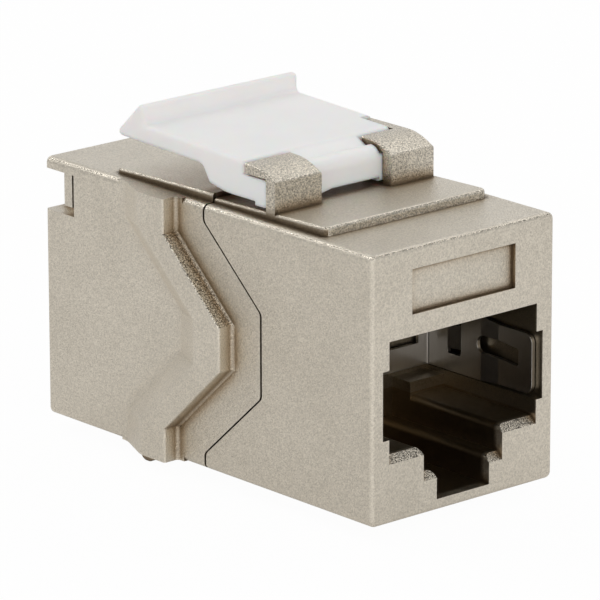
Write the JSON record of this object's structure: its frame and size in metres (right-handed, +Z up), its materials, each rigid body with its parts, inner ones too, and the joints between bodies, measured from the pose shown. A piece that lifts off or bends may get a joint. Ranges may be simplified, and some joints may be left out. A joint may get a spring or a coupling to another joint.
{
  "type": "keystone coupler",
  "caption": "Shielded die-cast keystone coupler with a stepped plug port at each end, chevron stops on its sides and a sprung white latch on top.",
  "frame": {"origin": "middle of the footprint, on the level of the lower catch", "axes": "+Y from the front port to the rear port, +Z up towards the latch, +X to the right seen from the front"},
  "size_m": [0.0166, 0.0298, 0.022],
  "materials": {
    "zinc": "satin nickel plating on a zinc die casting, finely grained",
    "latch": "matte white moulding",
    "spring": "bright stamped sheet",
    "carrier": "black moulding",
    "board": "green solder mask",
    "contact": "gold plating"
  },
  "bodies": {
    "housing": {"front_housing": "zinc", "rear_housing": "zinc", "front_shield_spring": "spring", "rear_shield_spring": "spring", "front_contact_carrier": "carrier", "rear_contact_carrier": "carrier", "circuit_board": "board", "front_contact_1": "contact", "front_contact_2": "contact", "front_contact_3": "contact", "front_contact_4": "contact", "front_contact_5": "contact", "front_contact_6": "contact", "front_contact_7": "contact", "front_contact_8": "contact", "rear_contact_1": "contact", "rear_contact_2": "contact", "rear_contact_3": "contact", "rear_contact_4": "contact", "rear_contact_5": "contact", "rear_contact_6": "contact", "rear_contact_7": "contact", "rear_contact_8": "contact"},
    "latch": {"latch": "latch"}
  },
  "joints": [
    {"name": "latch_press", "type": "hinge", "parent": "housing", "child": "latch", "pos_m": [0, -0.00381, 0.01884], "axis": [-1, 0, 0], "range_deg": [0, 4.5], "stiffness_Nm_per_rad": 0.5}
  ]
}
